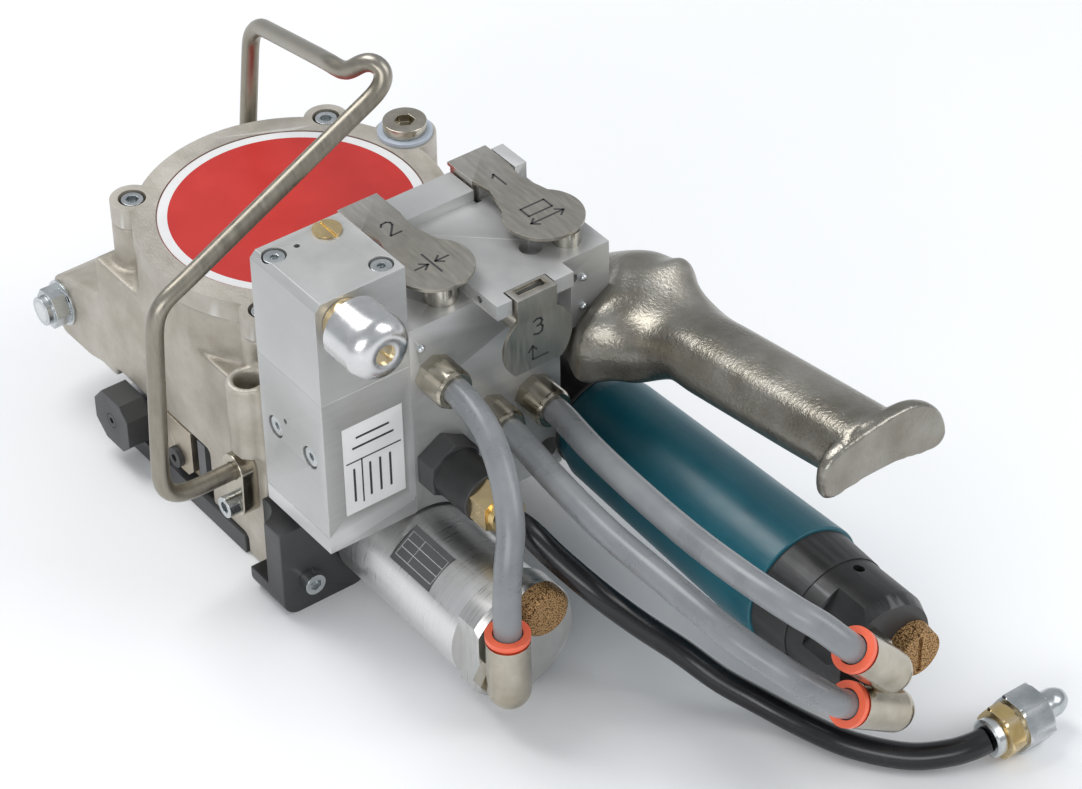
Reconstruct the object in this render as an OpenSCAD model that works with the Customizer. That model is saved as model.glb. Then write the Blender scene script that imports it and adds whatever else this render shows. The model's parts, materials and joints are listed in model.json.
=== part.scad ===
// Air-powered combination strapping tool: tensions, friction-welds and cuts plastic strap.
// Origin on the resting plane under the axis of the round cover.
// +X runs along the motors and the handle, +Y away from the open strap side, +Z up.

/* [Housing] */
// Outer radius of the round top cover
cover_r = 70; // [68:0.5:71]
// Height of the cover's top face above the resting plane
cover_top = 127; // [125:0.5:129]
// Thickness of the cover plate
cover_t = 10; // [8:0.5:12]
// Thickness of the base plate under the strap
base_t = 10; // [8:0.5:10]

/* [Valve] */
// Height of the valve body
valve_h = 130; // [120:1:130]
// Height of the joint between its two blocks above its foot
valve_split = 79; // [70:1:90]

/* [Motors] */
// Radius of the weld motor's tube
weld_r = 26; // [24:0.5:26]
// Height of the weld motor's axis
weld_z = 28.5; // [28:0.5:29]
// Radius of the tension motor's sleeve at its rear end
sleeve_r = 29; // [27:0.5:30]
// Height of the tension motor's axis
tension_z = 58; // [56:0.5:60]

/* [Levers] */
// Radius of the round thumb pad of each lever
pad_r = 17.5; // [15:0.5:17.5]
// Thickness of the lever plate
lever_t = 1.6; // [1.2:0.1:2]

/* [Hoses] */
// Outer diameter of the grey air hoses
hose_d = 12; // [10:0.5:12]
// Outer diameter of the black supply hose
supply_d = 11.5; // [9:0.5:12]

/* [Bail] */
// Diameter of the round hanging bail
bail_d = 8; // [6:0.5:9]

/* [Hidden] */
$fn = 64;
fit = 0.05;          // radial running clearance
gap = 0.3;           // free clearance between moving bodies
weld_y = -24.5;      // weld motor axis
tension_y = 68;      // tension motor axis
feed_x = -37;        // feed shaft axis, along Y
feed_z = 24;
wheel_r = 12.5;
cover_z = cover_top - cover_t;
front_x = 129;       // front face of valve and manifold blocks
back_x = 82;         // their back face, on the casting's pad
face_y = -67;        // open side face of the casting
valve_y0 = -72;
valve_y1 = -28;
valve_z = 55;
block_y1 = 48.5;
seam_z = 112.5;      // joint between outlet block and manifold block
block_top = 151.4;
bracket_top = 158.7;
pin_x = 70;          // pivot of levers 1 and 2
pin_z = 160.4;
pad_x = 115;
plate_z = 165.8;     // underside of levers 1 and 2
lever1_y = 51.5;
lever2_y = -5;
lever3_y = 23.3;
pin3_x = 142.4;
pin3_z = 155.2;
plate3_x = 146.6;
cover_holes = [[50, 52], [-49, 51], [-50, -51], [52, -50]];
clamp1 = [58, 55];   // near bail clamp, X and Z
clamp2 = [20, 70];   // far bail clamp, Y and Z
elbow2 = [61.5, 41.3]; // Y and Z of the stems in the tension motor's end
elbow3 = [55.2, 69.5];
motor_end = 319;
elbow1 = [-40.5, 22];  // Y and Z of the stem in the weld motor's end
weld_end = 198;
stems = [12.5, 13, 17]; // from a motor's end face to each elbow's body axis
guide_hole = [-2, 20];
foot_screw = [-65, 16.5]; // Y and Z
boss = [62, -66];    // hanger boss, X and Y
plate_top = 21;      // top of the weld plate under the push rod
nose_r = 18;         // spigot of the weld motor
silencer = [-17, 46]; // Y and Z of the weld motor's silencer
inlet_y = -14.5;     // supply inlet
inlet_z = 78;

// Routes of the hoses
hose_1 = [[138, -16.6, 125], [150, -16.6, 125], [168, -18.5, 121.5], [186, -23.5, 112.5],
          [200.5, -30.5, 98], [208, -38, 80], [210.5, -40.5, 64], [210.5, -40.5, 52], [210.5, -40.5, 39]];
hose_2 = [[138, 10, 90.5], [150, 10, 90.5], [180, 7.5, 88.5], [220, 3.5, 90], [260, 2.5, 91.5],
          [295, 5.5, 88], [318, 15, 79], [328, 24, 70.5], [331.5, 30.5, 63.5], [332, 37, 58.3], [332, 46.7, 51.6]];
hose_3 = [[138, 33.5, 90], [150, 33.5, 90], [180, 28.5, 92.5], [220, 22, 99], [260, 17, 105.5],
          [295, 16, 109.5], [318, 20, 108], [328, 26, 103], [334, 31.5, 96.5], [336, 36.6, 90.4], [336, 43.3, 82.9]];
supply = [[168, -14.5, 78], [179, -14.5, 78], [188, -12, 75.5], [200, -6.5, 66], [217, 2, 54], [229, 13.5, 40],
          [240.5, 25.5, 27], [256, 34.5, 17], [271, 44, 10], [288.5, 51.5, 6.5], [306, 58, 5.8],
          [320, 66, 5.8], [332, 76, 6.2], [341, 87, 8.6], [345.5, 95, 11], [347, 101, 12.3]];
// Route of the bail's centre line
bail_route = [[58, -60, 55], [58, -80, 55], [58, -98, 55], [57.8, -104, 56.5], [57.7, -108, 60.5],
              [57.7, -109.6, 67], [57.9, -109, 85], [58.4, -106.4, 140], [58.5, -105.6, 150],
              [58.6, -103.4, 156.6], [58.7, -98, 160.6], [58.9, -88, 165.3], [59.8, -5, 210],
              [60, 6, 215.6], [60, 11.4, 219.6], [59.6, 13.6, 223.6], [57.4, 13, 227.2],
              [53, 10.4, 228.6], [48.5, 7.6, 225.8], [45.2, 6, 221], [41.5, 5.2, 218.2], [35, 5.2, 217],
              [25, 7, 214.2], [-55, 27, 180.5], [-63, 29.2, 176.8], [-68.5, 29.8, 173],
              [-72.4, 29.8, 167.5], [-74, 29.4, 160], [-75.6, 22.5, 85], [-75.4, 20.8, 77],
              [-73, 20, 72], [-67, 20, 70], [-58, 20, 70]];

// ---- helpers ----
module box(x0, x1, y0, y1, z0, z1) translate([x0, y0, z0]) cube([x1 - x0, y1 - y0, z1 - z0]);
module rod_x(x0, x1, y, z, r, r2 = -1, n = 64)
    translate([x0, y, z]) rotate([0, 90, 0]) cylinder(r1 = r, r2 = r2 < 0 ? r : r2, h = x1 - x0, $fn = n);
module rod_y(y0, y1, x, z, r, n = 64)
    translate([x, y0, z]) rotate([-90, 0, 0]) cylinder(r = r, h = y1 - y0, $fn = n);
module rod_z(z0, z1, x, y, r, n = 64) translate([x, y, z0]) cylinder(r = r, h = z1 - z0, $fn = n);

function unit(v) = v / norm(v);
// Point on the smooth curve through the route, s in segments
function blend(a, b, c, d, t) = 0.5 * (2 * b + (c - a) * t + (2 * a - 5 * b + 4 * c - d) * t * t
                                       + (3 * b - a - 3 * c + d) * t * t * t);
function at(route, s) = let(n = len(route) - 1, i = min(floor(s), n - 1), t = s - i,
    b = route[i], c = route[i + 1], a = i > 0 ? route[i - 1] : 2 * b - c,
    d = i < n - 1 ? route[i + 2] : 2 * c - b) blend(a, b, c, d, t);
// Round tube swept along a route; side_axis is never parallel to the route
module tube(route, r, side_axis, per = 3, sides = 10) {
    n = (len(route) - 1) * per;
    path = [for (k = [0:n]) at(route, k / per)];
    tan = [for (k = [0:n]) unit(path[min(k + 1, n)] - path[max(k - 1, 0)])];
    rings = [for (k = [0:n]) let(u = unit(cross(tan[k], side_axis)), v = cross(tan[k], u))
             for (j = [0:sides - 1]) path[k] + r * (cos(360 * j / sides) * u + sin(360 * j / sides) * v)];
    faces = concat(
        [[for (j = [0:sides - 1]) j]],
        [for (k = [0:n - 1]) for (j = [0:sides - 1]) let(a = k * sides + j, b = k * sides + (j + 1) % sides)
            [a, a + sides, b + sides, b]],
        [[for (j = [sides - 1:-1:0]) n * sides + j]]);
    polyhedron(points = rings, faces = faces, convexity = 6);
}
// Socket head screw M6, head seated at z = 0, shank below
module m6_screw(shank = 14) {
    difference() {
        cylinder(r = 5, h = 6);
        translate([0, 0, 3]) cylinder(r = 2.9, h = 4, $fn = 6);
    }
    translate([0, 0, -shank]) cylinder(r = 3, h = shank);
}
// Pan head screw of the valve, top of the head at z = 0
module valve_screw() {
    difference() {
        translate([0, 0, -4]) cylinder(r = 4.6, h = 3.2);
        translate([0, 0, -2.6]) cylinder(r = 1.9, h = 3, $fn = 6);
    }
    translate([0, 0, -20]) cylinder(r = 2.5, h = 16);
}
module valve_screw_hole() {
    translate([0, 0, -4]) cylinder(r = 5.25, h = 5);
    translate([0, 0, -20.5]) cylinder(r = 2.5, h = 17);
}
// Places of the four screws of the valve
module at_valve_screws() {
    top = valve_z + valve_h;
    translate([90, -65.3, top]) children();
    translate([121.5, -34.5, top]) children();
    for (x = [92, 117.5]) translate([x, valve_y0, 100]) rotate([90, 0, 0]) children();
}
module at_socket_screws() {
    for (h = cover_holes) translate([h[0], h[1], cover_top - 6.5]) children();
    translate([clamp1[0] + 1, face_y - 8, clamp1[1] - 17]) rotate([90, 0, 0]) children();
    translate([98, foot_screw[0], foot_screw[1]]) rotate([0, 90, 0]) children();
    translate([-78, clamp2[0] + 17, clamp2[1] - 1]) rotate([0, -90, 0]) children();
}

// ---- housing ----
module drum_outline(r) {
    circle(r = r, $fn = 128);
    for (h = cover_holes) translate(h) circle(r = 10);
    translate([-17, 72]) circle(r = 14);
}
module main_casting() color("#b9b6ac") difference() {
    union() {
        // drum and its lower body
        translate([0, 0, 40]) linear_extrude(cover_z - 40) intersection() {
            drum_outline(cover_r - 0.5);
            translate([-80, face_y]) square([160, 170]);
        }
        box(-62, 72, face_y, 45, 33, 95);
        box(-62, 72, -35, 45, base_t, 33);
        box(25, 72, face_y, -35, base_t, 33);
        box(52, 72, face_y, -35, 0, base_t);
        // gear housing and handle pad
        box(-66, 72, 45, 92, 0, 88);
        box(30, 72, 40, 92, 88, 112);
        // pads for valve and blocks
        box(72, back_x, face_y, 45, 58, 112);
        // ear with the pivot pin
        translate([0, -40, 0]) rotate([90, 0, 0]) linear_extrude(-face_y - 40)
            polygon([[-106, 46], [-103, 60], [-96, 64], [-60, 74], [-60, 34.5], [-74, 31], [-98, 30], [-105, 36]]);
        // tapped hanger boss and pad of the far bail clamp
        rod_z(66, 104, boss[0], boss[1], 9.5);
        box(-70, -60, 8, 46, 60, 82);
    }
    // piston chamber and push rod bore
    rod_z(72, cover_z + 1, 0, 0, 56);
    rod_z(30, 73, 2, -44, 5 + fit);
    // wheel room and weld room
    box(-52, -22, face_y - 1, -35, base_t - 1, 38);
    box(-14, 25, face_y - 1, -8, base_t - 1, 40);
    // shaft bores
    rod_y(-36, 59, feed_x, feed_z, 7 + fit);
    rod_y(58, 80, feed_x, feed_z, 21.5);
    rod_y(79, 86, feed_x, feed_z, 6 + fit);
    rod_x(-62, 73, tension_y, tension_z, 13.5);
    rod_x(-6, 73, weld_y, weld_z, 11);
    rod_x(62, 73, weld_y, weld_z, nose_r);
    // oval pocket and dimple on the open side
    translate([50, face_y + 5, 58]) rotate([90, 0, 0]) linear_extrude(6) {
        translate([0, -4]) circle(r = 3.5);
        translate([0, 6]) circle(r = 3.5);
        translate([-3.5, -4]) square([7, 10]);
    }
    // holes
    rod_y(face_y - 1, -60, clamp1[0], clamp1[1], bail_d / 2);
    rod_x(-71, -58, clamp2[0], clamp2[1], bail_d / 2);
    rod_z(84, 105, boss[0], boss[1], 6);
    rod_y(face_y - 1, -39, -95, 50, 5 + fit);
    at_socket_screws() translate([0, 0, -14.5]) cylinder(r = 3, h = 15);
    translate([-17, 72, 100]) cylinder(r = 8, h = 30);
}
module base_plate() color("#26262a") difference() {
    union() {
        box(-62, 52, face_y - 1, 45, 0, base_t);
        box(52, 72, -35, 45, 0, base_t);
    }
    box(-24, 6, -60, -40, base_t - 1.2, base_t + 1);
}
module foot_block() color("#232326") difference() {
    translate([72, 0, 0]) rotate([90, 0, 90]) linear_extrude(26) {
        for (y = [-70, -42]) translate([y, 8]) circle(r = 8);
        translate([-70, 0]) square([28, 46]);
        translate([-78, 8]) square([44, 38]);
    }
    rod_x(71, 100, weld_y, weld_z, nose_r);
    rod_x(71, 99, foot_screw[0], foot_screw[1], 3);
    // concave relief behind the casting's corner
    rod_z(12, 60, 75, -80, 11);
}
module top_cover() color("#c4c1b6") difference() {
    translate([0, 0, cover_z]) linear_extrude(cover_t) drum_outline(cover_r);
    translate([0, 0, cover_top - 1]) cylinder(r = 59.5, h = 2, $fn = 128);
    for (h = cover_holes) {
        rod_z(cover_top - 6.5, cover_top + 1, h[0], h[1], 6.25);
        rod_z(cover_z - 1, cover_top, h[0], h[1], 3);
    }
    translate([-17, 72, cover_z - 1]) cylinder(r = 8, h = 20);
}
module socket_screws() color("#c9ccd0") at_socket_screws() m6_screw();
module cover_label() color("#b8261d") translate([0, 0, cover_top - 1]) cylinder(r = 59, h = 0.6, $fn = 128);
module cover_plug() color("#a89f86") translate([-17, 72, cover_top]) {
    difference() {
        translate([0, 0, 2]) cylinder(r = 10, h = 5);
        translate([0, 0, 3]) cylinder(r = 4.6, h = 5, $fn = 6);
    }
    translate([0, 0, -12]) cylinder(r = 8, h = 14);
}
module plug_seal() color("#aebac8") translate([-17, 72, cover_top]) difference() {
    cylinder(r = 12.5, h = 2);
    translate([0, 0, -1]) cylinder(r = 8, h = 4);
}
module press_piston() color("#9fa3a6") {
    difference() {
        rod_z(76, 92, 0, 0, 56 - fit);
        rod_z(84, 93, 0, 0, 40);
        rotate_extrude($fn = 96) translate([54, 79]) square([5, 4]);
    }
    rod_z(plate_top + gap, 76.5, 2, -44, 5);
}
module pivot_pin() color("#c8cbce") {
    rod_y(face_y - 12, -40, -95, 50, 5);
}
module pivot_nut() color("#cdd2d4") difference() {
    union() {
        rod_y(face_y - 9, face_y, -95, 50, 9.8, 6);
        rod_y(face_y - 12, face_y - 9, -95, 50, 7);
        rod_y(face_y - 1.4, face_y, -95, 50, 11);
    }
    rod_y(face_y - 13, face_y + 1, -95, 50, 5);
}
module bearing_cap() color("#2b2b2e") difference() {
    translate([feed_x, face_y, feed_z]) rotate([90, 0, 0]) linear_extrude(13)
        polygon([[-14, -6], [-14, 5], [-7, 13], [8, 13], [14, 7], [14, -7], [8, -13], [-6, -13]]);
    rod_y(face_y - 8, face_y + 1, feed_x, feed_z, 5 + fit);
    rod_y(face_y - 14, face_y - 11, feed_x, feed_z, 3.6);
    rod_y(face_y - 12, face_y - 7, feed_x, feed_z, 3);
}
module button_screws() color("#303034") {
    difference() {
        union() {
            rod_y(face_y - 13, face_y - 11, feed_x, feed_z, 3.5);
            rod_y(face_y - 11, face_y - 8.3, feed_x, feed_z, 3);
        }
        rod_y(face_y - 14, face_y - 11.6, feed_x, feed_z, 1.6, 6);
    }
    difference() {
        union() {
            rod_y(face_y - 2.5, face_y, guide_hole[0], guide_hole[1], 5);
            rod_y(face_y, face_y + 4, guide_hole[0], guide_hole[1], 3);
        }
        rod_y(face_y - 3, face_y - 1, guide_hole[0], guide_hole[1], 2, 6);
    }
}
module feed_wheel() color("#6d6f73") difference() {
    rod_y(-62, -37, feed_x, feed_z, wheel_r);
    rod_y(-63, -36, feed_x, feed_z, 5);
    // knurl grooves
    for (i = [0:11]) translate([feed_x, 0, feed_z]) rotate([0, i * 30, 0])
        rod_y(-63, -36, wheel_r + 0.6, 0, 1.2, 16);
}
module feed_shaft() color("#9a9da1") {
    rod_y(-74.5, -36, feed_x, feed_z, 5);
    rod_y(-36.5, 59, feed_x, feed_z, 7);
    rod_y(58.5, 85.5, feed_x, feed_z, 6);
}
module worm_wheel() color("#b08d4a") difference() {
    rod_y(60, 77, feed_x, feed_z, 20.6);
    rod_y(59, 78, feed_x, feed_z, 6);
    for (i = [0:23]) translate([feed_x, 0, feed_z]) rotate([0, i * 15, 0])
        rod_y(59, 78, 21, 0, 1.6, 16);
}
module worm_shaft() color("#85888c") {
    difference() {
        rod_x(-58, -14, tension_y, tension_z, 13);
        // thread grooves
        for (i = [0:6]) translate([-53 + i * 5.6, tension_y, tension_z]) rotate([0, 90, 0])
            rotate_extrude($fn = 48) translate([11, 0]) square([3, 2.4]);
    }
    rod_x(-14.5, 273, tension_y, tension_z, 5);
    rod_x(138, 258, tension_y, tension_z, 15);
}
module weld_plate() color("#8e9196") difference() {
    union() {
        box(-8, 10, -61, -12, 12, plate_top);
        box(-8, 10, -36.5, -12, plate_top - 1, 39);
    }
    rod_x(-9, 11, weld_y, weld_z, 8.3);
    // toothed sole
    for (i = [0:5]) rod_x(-9, 11, -59 + i * 4, 12, 1, 1, 16);
}
module eccentric_shaft() color("#7e8185") {
    rod_x(-8, 11.5, weld_y, weld_z + 1.2, 4);
    rod_x(11, 107, weld_y, weld_z, 6);
    rod_x(106, 172, weld_y, weld_z, 16);
    rod_x(171, 181, weld_y, weld_z, 6);
}
module guide_plate() color("#b9a98a") difference() {
    box(-14, 10, face_y, face_y + 4, 14, 40);
    rod_y(face_y - 1, face_y + 5, guide_hole[0], guide_hole[1], 3);
    translate([10, face_y - 1, 14]) rotate([0, 45, 0]) cube([6, 8, 6], center = true);
}
module cutter_blade() color("#2f2f33") difference() {
    box(14, 20, -66, -37, 12.5, 39);
    translate([14, -70, 9]) rotate([0, 40, 0]) cube([6, 40, 6]);
}

// ---- weld motor ----
module weld_motor() color("#cfd1d2") difference() {
    union() {
        rod_x(62, 101, weld_y, weld_z, nose_r);
        rod_x(100, 184, weld_y, weld_z, weld_r);
    }
    rod_x(61, 108, weld_y, weld_z, 6 + fit);
    rod_x(104, 177, weld_y, weld_z, 17);
    rod_x(176, 185, weld_y, weld_z, 6 + fit);
    // seat of the nameplate
    translate([0, weld_y, weld_z]) rotate([36, 0, 0]) box(134, 162, -9, 9, weld_r - 1.7, weld_r + 1);
}
module weld_motor_cap() color("#c6c8c9") difference() {
    union() {
        rod_x(184, 195, weld_y, weld_z, weld_r + 2);
        rod_x(195, weld_end, weld_y, weld_z, weld_r + 2, weld_r);
    }
    rod_x(183, 186, weld_y, weld_z, 6.5);
    rod_x(192, weld_end + 1, silencer[0], silencer[1], 7);
    rod_x(190, weld_end + 1, elbow1[0], elbow1[1], 4.5);
    // wrench flat on the open side
    box(183, weld_end + 1, weld_y - 40, weld_y - 22, 0, 60);
}
module motor_nameplate() color("#1d1d1f") translate([0, weld_y, weld_z]) rotate([36, 0, 0])
    box(134.2, 161.8, -8.8, 8.8, weld_r - 1.7, weld_r - 0.9);
module weld_silencer() color("#b98a4d") {
    rod_x(192, weld_end + 1, silencer[0], silencer[1], 7);
    rod_x(weld_end, 205, silencer[0], silencer[1], 11.5);
    rod_x(205, 207, silencer[0], silencer[1], 11.5, 9.5);
}

// ---- tension motor ----
module motor_collar() color("#222225") difference() {
    union() {
        rod_x(72, 131, tension_y, tension_z, 19);
        rod_x(front_x + gap, 131, tension_y, tension_z, 23);
    }
    rod_x(71, 132, tension_y, tension_z, 5 + fit);
}
module motor_sleeve() color("#0f6272") difference() {
    union() {
        rod_x(131, 140, tension_y, tension_z, 22.5, 25);
        rod_x(140, 268, tension_y, tension_z, 25, sleeve_r);
    }
    rod_x(130, 269, tension_y, tension_z, 16);
}
module motor_housing() color("#252528") difference() {
    union() {
        rod_x(268, 288, tension_y, tension_z, 27.5, 26.5);
        rod_x(288, 313, tension_y, tension_z, 26);
        rod_x(313, motor_end, tension_y, tension_z, 26, 23.5);
    }
    rod_x(267, 276, tension_y, tension_z, 5 + fit);
    // wrench flats
    for (m = [0, 1]) translate([0, tension_y, tension_z]) rotate([48 + 180 * m, 0, 0])
        box(298, 330, -40, 40, 22, 40);
    rod_x(312, 330, 80, 57, 8);
    for (e = [elbow2, elbow3]) rod_x(310, 330, e[0], e[1], 4.5);
    // small blind hole
    translate([294, tension_y, tension_z]) rotate([-15, 0, 0]) cylinder(r = 2.5, h = 40);
}
module motor_silencer() color("#b98a4d") difference() {
    union() {
        rod_x(312, 320, 80, 57, 8);
        rod_x(motor_end, 327, 80, 57, 11.5, 10.5);
    }
    box(325.5, 328, 79, 81, 48, 66);
}

// ---- handle ----
module handle() color("#c9c8c3") {
    difference() {
        union() {
            hull() {
                box(72, 88, 52, 92, 90, 111);
                box(138, 150, 56, 92, 98, 118);
            }
            // flare in front of the fingers
            hull() for (p = [[148, 48.5, 111], [148, 48.5, 117.5], [148, 53, 127], [148, 60.5, 132.5],
                             [150, 79, 134], [152, 93.5, 137.5], [152, 96, 128.5], [150, 90, 108],
                             [148, 60, 104]])
                translate(p) sphere(r = 6, $fn = 16);
            // sloping top behind the flare
            hull() for (p = [[124, 82, 128], [124, 93, 122], [134, 76.5, 137], [134, 100, 124],
                             [152, 84, 136], [152, 94, 132], [126, 84, 104], [150, 84, 104]])
                translate(p) sphere(r = 6, $fn = 16);
            // neck and grip
            hull() {
                translate([152, 78, 122]) scale([0.4, 1.15, 0.95]) sphere(r = 19, $fn = 32);
                translate([176, 78, 126]) scale([0.4, 1, 0.8]) sphere(r = 19, $fn = 32);
            }
            hull() for (p = [[156, 78, 123], [296, 78, 145]])
                translate(p) scale([0.4, 1, 0.8]) sphere(r = 19, $fn = 32);
        }
        rod_x(71, 90, 60, 101, 3);
        rod_x(71, 90, 84, 101, 3);
    }
    // flared end stop
    translate([292, 0, 0]) rotate([90, 0, 90]) linear_extrude(6) offset(r = 2, $fn = 24) offset(delta = -2)
        polygon([[51, 136], [51.5, 148.5], [59, 154.5], [75, 158], [93.5, 159.5], [105, 155], [112, 147],
                 [115, 136], [111, 131], [102, 131.5], [89, 134], [71, 134], [56, 132.5]]);
}

// ---- valve ----
module valve_lower() color("#c3c5c6") difference() {
    box(back_x, front_x, valve_y0, valve_y1, valve_z, valve_z + valve_split);
    at_valve_screws() valve_screw_hole();
    // joint groove near the foot
    for (y = [valve_y0 - 0.5, valve_y1 - 0.5]) box(back_x, front_x, y, y + 1, valve_z + 8, valve_z + 8.6);
    rod_y(valve_y0 - 1, valve_y0 + 4, 100, 108, 1.2, 16);
    // seat of the rating label
    box(front_x - 0.5, front_x + 1, valve_y0 + 9, valve_y1 - 5, valve_z + 16, valve_z + 62);
}
module valve_upper() color("#c3c5c6") difference() {
    box(back_x, front_x, valve_y0, valve_y1, valve_z + valve_split, valve_z + valve_h);
    at_valve_screws() valve_screw_hole();
    translate([89.5, -39, valve_z + valve_h - 8]) cylinder(r = 5, h = 9);
    translate([90.5, -54.5, valve_z + valve_h - 6]) cylinder(r = 1.3, h = 7);
    rod_x(front_x - 16, front_x + 1, -59.5, 174, 4.6 + fit);
    // bright chamfer along the top edge
    translate([0, valve_y0, valve_z + valve_h]) rotate([45, 0, 0]) box(80, 131, -2, 2, -2, 2);
}
module valve_label() color("#e6e6e4") box(front_x - 0.5, front_x - 0.1, valve_y0 + 9, valve_y1 - 5,
                                         valve_z + 16, valve_z + 62);
module valve_screws() color("#c5cbd0") at_valve_screws() valve_screw();
module slotted_plug() color("#b0924a") translate([89.5, -39, valve_z + valve_h]) difference() {
    union() {
        translate([0, 0, -8]) cylinder(r = 5, h = 8);
        cylinder(r = 6.25, h = 1.2);
    }
    box(-7, 7, -0.7, 0.7, 0.2, 2);
}
module regulator_cap() color("#c9cccd") difference() {
    union() {
        rod_x(137, 152, -59.5, 174, 14.5);
        translate([152, -59.5, 174]) rotate([0, 90, 0]) rotate_extrude($fn = 64) intersection() {
            translate([6.5, 0]) circle(r = 8);
            square([14.5, 8]);
        }
        translate([152, -59.5, 174]) rotate([0, 90, 0]) cylinder(r = 7, h = 7.8);
    }
    rod_x(136, 161, -59.5, 174, 4.6);
}
module regulator_screw() color("#b59a4e") difference() {
    union() {
        rod_x(115, 158.6, -59.5, 174, 4.6);
        rod_x(front_x + gap, 137, -59.5, 174, 9.5);
    }
    translate([158.6, -59.5, 174]) rotate([35, 0, 0]) box(-1.4, 1, -0.7, 0.7, -6, 6);
}
module ball_plugs() color("#b9bcbe") {
    translate([front_x + 0.4, -22.5, 140.6]) sphere(r = 1.8, $fn = 32);
    translate([137.8, 54.5, 146.5]) sphere(r = 1.8, $fn = 32);
    translate([137.8, 54.5, 131.5]) sphere(r = 1.8, $fn = 32);
}

// ---- blocks ----
module outlet_block() color("#bfc1c2") difference() {
    box(back_x, front_x, valve_y1, block_y1, 44, seam_z);
    rod_x(95, front_x + 1, weld_y, weld_z, weld_r + 1);
    rod_x(back_x - 1, 130, weld_y, weld_z, nose_r + 1);
    rod_x(front_x - 12, front_x + 1, 41, 55, 5.5);
    rod_x(front_x - 12, front_x + 1, 10, 90.5, 6);
    rod_x(front_x - 12, front_x + 1, 33.5, 90, 6);
    rod_x(front_x - 12, front_x + 1, inlet_y, inlet_z, 7);
}
module manifold_block() color("#bfc1c2") difference() {
    box(back_x, front_x, valve_y1, block_y1, seam_z, block_top);
    rod_x(front_x - 12, front_x + 1, -16.6, 125, 6);
    rod_z(138, block_top + 1, 118, -4, 7 + fit);
    rod_x(front_x - 14, front_x + 1, lever3_y, 137, 5 + fit);
    translate([front_x + 0.4, -22.5, 140.6]) sphere(r = 1.8, $fn = 32);
}
module lever_bracket() color("#c6c8c9") difference() {
    union() {
        box(63, 137.4, 5, 68.5, block_top, bracket_top);
        box(137, 145.4, 5, 44, block_top, bracket_top);
        box(96, 137.4, block_y1, 68.5, 122, block_top + 1);
        // rear bar with the lever knuckles
        box(63, 80, -15.5, 68.5, block_top, 164.2);
        box(63, 80, 62.5, 68.5, block_top, 166.8);
    }
    for (y = [lever1_y, lever2_y], s = [-1, 1])
        box(61, 82, y + s * 9.2 - 1.5, y + s * 9.2 + 1.5, 152.5, 165);
    rod_y(lever1_y - 10.9, lever1_y + 10.9, pin_x, pin_z, 2);
    rod_y(lever2_y - 10.4, lever2_y + 10.9, pin_x, pin_z, 2);
    // slot of the stop lever
    box(139, 147, lever3_y - 10.8, lever3_y + 10.8, block_top - 1, bracket_top + 1);
    rod_y(lever3_y - 13, lever3_y + 13, pin3_x, pin3_z, 1.5);
    // plunger bore, blind holes
    rod_z(146, bracket_top + 1, 126, 55, 6 + fit);
    rod_z(154, bracket_top + 1, 121, 40, 5);
    rod_y(4, 9, 133, 155.2, 1.6, 24);
    for (z = [146.5, 131.5]) translate([137.8, 54.5, z]) sphere(r = 1.8, $fn = 32);
    rod_x(133, 138, 49.6, 147.4, 2.6, 2.6, 6);
}

// ---- levers ----
// Thumb lever lying along X: folded hinge end, neck and round pad
module thumb_lever(y) translate([0, y, 0]) difference() {
    union() {
        translate([0, 0, plate_z]) linear_extrude(lever_t) {
            translate([60, -10]) square([18, 20]);
            polygon([[76, -10], [88, -8.2], [103, -12], [103, 12], [88, 8.2], [76, 10]]);
            translate([pad_x, 0]) circle(r = pad_r);
        }
        for (s = [-1, 1]) translate([0, s * 9.2, 0]) box(62, 78, -0.8, 0.8, 156.4, plate_z + 1);
    }
    rod_y(-12, 12, pin_x, pin_z, 2 + fit);
}
module tension_lever() color("#8d8a7c") thumb_lever(lever1_y);
module weld_lever() color("#7f7c70") thumb_lever(lever2_y);
module stop_lever() color("#86847a") translate([0, lever3_y, 0]) difference() {
    union() {
        translate([plate3_x, 0, 0]) rotate([90, 0, 90]) linear_extrude(lever_t) difference() {
            union() {
                translate([-10, 142]) square([20, 17]);
                translate([0, 134]) circle(r = pad_r);
            }
            translate([-20, 110]) square([40, 11]);
        }
        box(139.6, plate3_x + 1, -10, 10, bracket_top - 1.4, bracket_top + 0.3);
        for (s = [-1, 1]) translate([0, s * 9.2, 0])
            box(139.6, plate3_x + 1, -0.8, 0.8, block_top + 0.7, bracket_top);
    }
    // window over the pin
    box(140.8, 145, -7, 7, 150, 161);
    rod_y(-12, 12, pin3_x, pin3_z, 1.5 + fit);
}
module lever_pins() color("#c3c6c9") {
    rod_y(lever1_y - 10.9, lever1_y + 10.9, pin_x, pin_z, 2);
    rod_y(lever2_y - 10.4, lever2_y + 10.9, pin_x, pin_z, 2);
    rod_y(lever3_y - 13, lever3_y + 13, pin3_x, pin3_z, 1.5);
}
module tension_plunger() color("#b3aa94") rod_z(149.5, plate_z - 0.6, 126, 55, 6);
module weld_plunger() color("#b3aa94") rod_z(141, plate_z - 0.6, 118, -4, 7);
module stop_plunger() color("#b3aa94") rod_x(117.5, plate3_x - 0.7, lever3_y, 137, 5);

// ---- fittings ----
module straight_fittings() color("#aba28c")
    for (p = [[-16.6, 125], [10, 90.5], [33.5, 90]]) difference() {
        union() {
            rod_x(front_x - 8, front_x, p[0], p[1], 6);
            rod_x(front_x, front_x + 6, p[0], p[1], 9.4, 9.4, 8);
            rod_x(front_x + 5, front_x + 14, p[0], p[1], 9.2);
            rod_x(front_x + 14, front_x + 16, p[0], p[1], 9.2, 8.2);
        }
        rod_x(137, 146, p[0], p[1], hose_d / 2);
    }
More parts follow.
